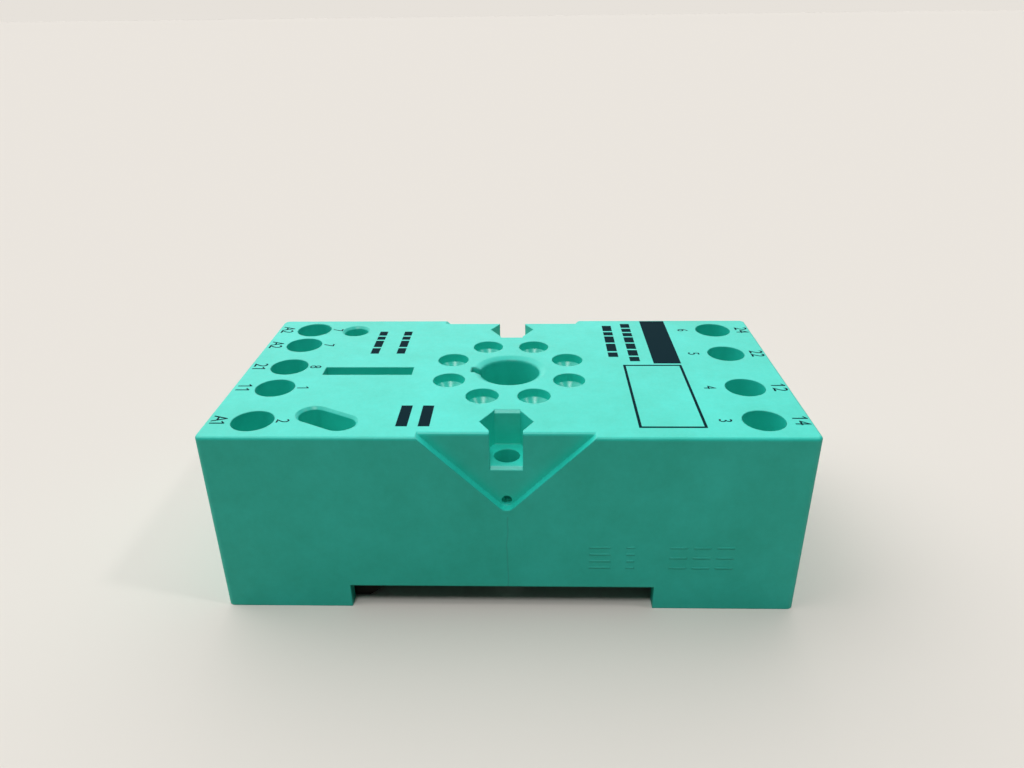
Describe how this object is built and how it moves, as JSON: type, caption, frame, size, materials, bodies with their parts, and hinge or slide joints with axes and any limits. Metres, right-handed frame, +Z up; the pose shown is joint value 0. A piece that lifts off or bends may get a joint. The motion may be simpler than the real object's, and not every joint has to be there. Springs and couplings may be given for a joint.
{
  "type": "relay socket",
  "caption": "Low box-shaped socket for a round plug-in relay, with deep screw terminal wells at both ends, side recesses for a clip and a sprung latch for a mounting rail.",
  "frame": {"origin": "middle of the footprint, on the surface that the socket stands on", "axes": "+X along the body towards the end with four terminals, +Y towards the long face away from the viewer, +Z up out of the relay face"},
  "size_m": [0.0734, 0.038, 0.0252],
  "materials": {
    "green_plastic": "moulded, satin",
    "black_plastic": "moulded, satin",
    "contact_brass": "stamped, bright",
    "zinc_plate": "zinc plated",
    "spring_steel": "drawn wire"
  },
  "bodies": {
    "socket": {"housing": "green_plastic", "base_plate": "black_plastic", "latch_spring": "spring_steel", "contact_1": "contact_brass", "contact_2": "contact_brass", "contact_3": "contact_brass", "contact_4": "contact_brass", "contact_5": "contact_brass", "contact_6": "contact_brass", "contact_7": "contact_brass", "contact_8": "contact_brass"},
    "rail_latch": {"rail_latch": "black_plastic"},
    "clamp_a1": {"clamp_a1": "zinc_plate"},
    "screw_a1": {"screw_a1": "zinc_plate"},
    "clamp_11": {"clamp_11": "zinc_plate"},
    "screw_11": {"screw_11": "zinc_plate"},
    "clamp_21": {"clamp_21": "zinc_plate"},
    "screw_21": {"screw_21": "zinc_plate"},
    "clamp_a2": {"clamp_a2": "zinc_plate"},
    "screw_a2": {"screw_a2": "zinc_plate"},
    "clamp_a2_twin": {"clamp_a2_twin": "zinc_plate"},
    "screw_a2_twin": {"screw_a2_twin": "zinc_plate"},
    "clamp_14": {"clamp_14": "zinc_plate"},
    "screw_14": {"screw_14": "zinc_plate"},
    "clamp_12": {"clamp_12": "zinc_plate"},
    "screw_12": {"screw_12": "zinc_plate"},
    "clamp_22": {"clamp_22": "zinc_plate"},
    "screw_22": {"screw_22": "zinc_plate"},
    "clamp_24": {"clamp_24": "zinc_plate"},
    "screw_24": {"screw_24": "zinc_plate"}
  },
  "joints": [
    {"name": "latch_slide", "type": "slide", "parent": "socket", "child": "rail_latch", "axis": [1, 0, 0], "range_m": [0, 0.003], "stiffness_N_per_m": 800, "springref_m": -0.002, "deforming": ["latch_spring"]},
    {"name": "clamp_a1_lift", "type": "slide", "parent": "socket", "child": "clamp_a1", "axis": [0, 0, 1], "range_m": [0, 0.003]},
    {"name": "screw_a1_turn", "type": "hinge", "parent": "clamp_a1", "child": "screw_a1", "pos_m": [-0.0309, -0.0149, 0.0122], "axis": [0, 0, 1], "range_deg": [0, 2160]},
    {"name": "clamp_11_lift", "type": "slide", "parent": "socket", "child": "clamp_11", "axis": [0, 0, 1], "range_m": [0, 0.003]},
    {"name": "screw_11_turn", "type": "hinge", "parent": "clamp_11", "child": "screw_11", "pos_m": [-0.0309, -0.00575, 0.0122], "axis": [0, 0, 1], "range_deg": [0, 2160]},
    {"name": "clamp_21_lift", "type": "slide", "parent": "socket", "child": "clamp_21", "axis": [0, 0, 1], "range_m": [0, 0.003]},
    {"name": "screw_21_turn", "type": "hinge", "parent": "clamp_21", "child": "screw_21", "pos_m": [-0.0309, 0.001, 0.0122], "axis": [0, 0, 1], "range_deg": [0, 2160]},
    {"name": "clamp_a2_lift", "type": "slide", "parent": "socket", "child": "clamp_a2", "axis": [0, 0, 1], "range_m": [0, 0.003]},
    {"name": "screw_a2_turn", "type": "hinge", "parent": "clamp_a2", "child": "screw_a2", "pos_m": [-0.0309, 0.00885, 0.0122], "axis": [0, 0, 1], "range_deg": [0, 2160]},
    {"name": "clamp_a2_twin_lift", "type": "slide", "parent": "socket", "child": "clamp_a2_twin", "axis": [0, 0, 1], "range_m": [0, 0.003]},
    {"name": "screw_a2_twin_turn", "type": "hinge", "parent": "clamp_a2_twin", "child": "screw_a2_twin", "pos_m": [-0.0309, 0.0149, 0.0122], "axis": [0, 0, 1], "range_deg": [0, 2160]},
    {"name": "clamp_14_lift", "type": "slide", "parent": "socket", "child": "clamp_14", "axis": [0, 0, 1], "range_m": [0, 0.003]},
    {"name": "screw_14_turn", "type": "hinge", "parent": "clamp_14", "child": "screw_14", "pos_m": [0.0309, -0.01465, 0.0122], "axis": [0, 0, 1], "range_deg": [0, 2160]},
    {"name": "clamp_12_lift", "type": "slide", "parent": "socket", "child": "clamp_12", "axis": [0, 0, 1], "range_m": [0, 0.003]},
    {"name": "screw_12_turn", "type": "hinge", "parent": "clamp_12", "child": "screw_12", "pos_m": [0.0309, -0.00555, 0.0122], "axis": [0, 0, 1], "range_deg": [0, 2160]},
    {"name": "clamp_22_lift", "type": "slide", "parent": "socket", "child": "clamp_22", "axis": [0, 0, 1], "range_m": [0, 0.003]},
    {"name": "screw_22_turn", "type": "hinge", "parent": "clamp_22", "child": "screw_22", "pos_m": [0.0309, 0.00555, 0.0122], "axis": [0, 0, 1], "range_deg": [0, 2160]},
    {"name": "clamp_24_lift", "type": "slide", "parent": "socket", "child": "clamp_24", "axis": [0, 0, 1], "range_m": [0, 0.003]},
    {"name": "screw_24_turn", "type": "hinge", "parent": "clamp_24", "child": "screw_24", "pos_m": [0.0309, 0.01465, 0.0122], "axis": [0, 0, 1], "range_deg": [0, 2160]}
  ],
  "couplings": [
    {"joint": "screw_a1_turn", "follows": "clamp_a1_lift", "rad_per_m": 12566},
    {"joint": "screw_11_turn", "follows": "clamp_11_lift", "rad_per_m": 12566},
    {"joint": "screw_21_turn", "follows": "clamp_21_lift", "rad_per_m": 12566},
    {"joint": "screw_a2_turn", "follows": "clamp_a2_lift", "rad_per_m": 12566},
    {"joint": "screw_a2_twin_turn", "follows": "clamp_a2_twin_lift", "rad_per_m": 12566},
    {"joint": "screw_14_turn", "follows": "clamp_14_lift", "rad_per_m": 12566},
    {"joint": "screw_12_turn", "follows": "clamp_12_lift", "rad_per_m": 12566},
    {"joint": "screw_22_turn", "follows": "clamp_22_lift", "rad_per_m": 12566},
    {"joint": "screw_24_turn", "follows": "clamp_24_lift", "rad_per_m": 12566}
  ]
}
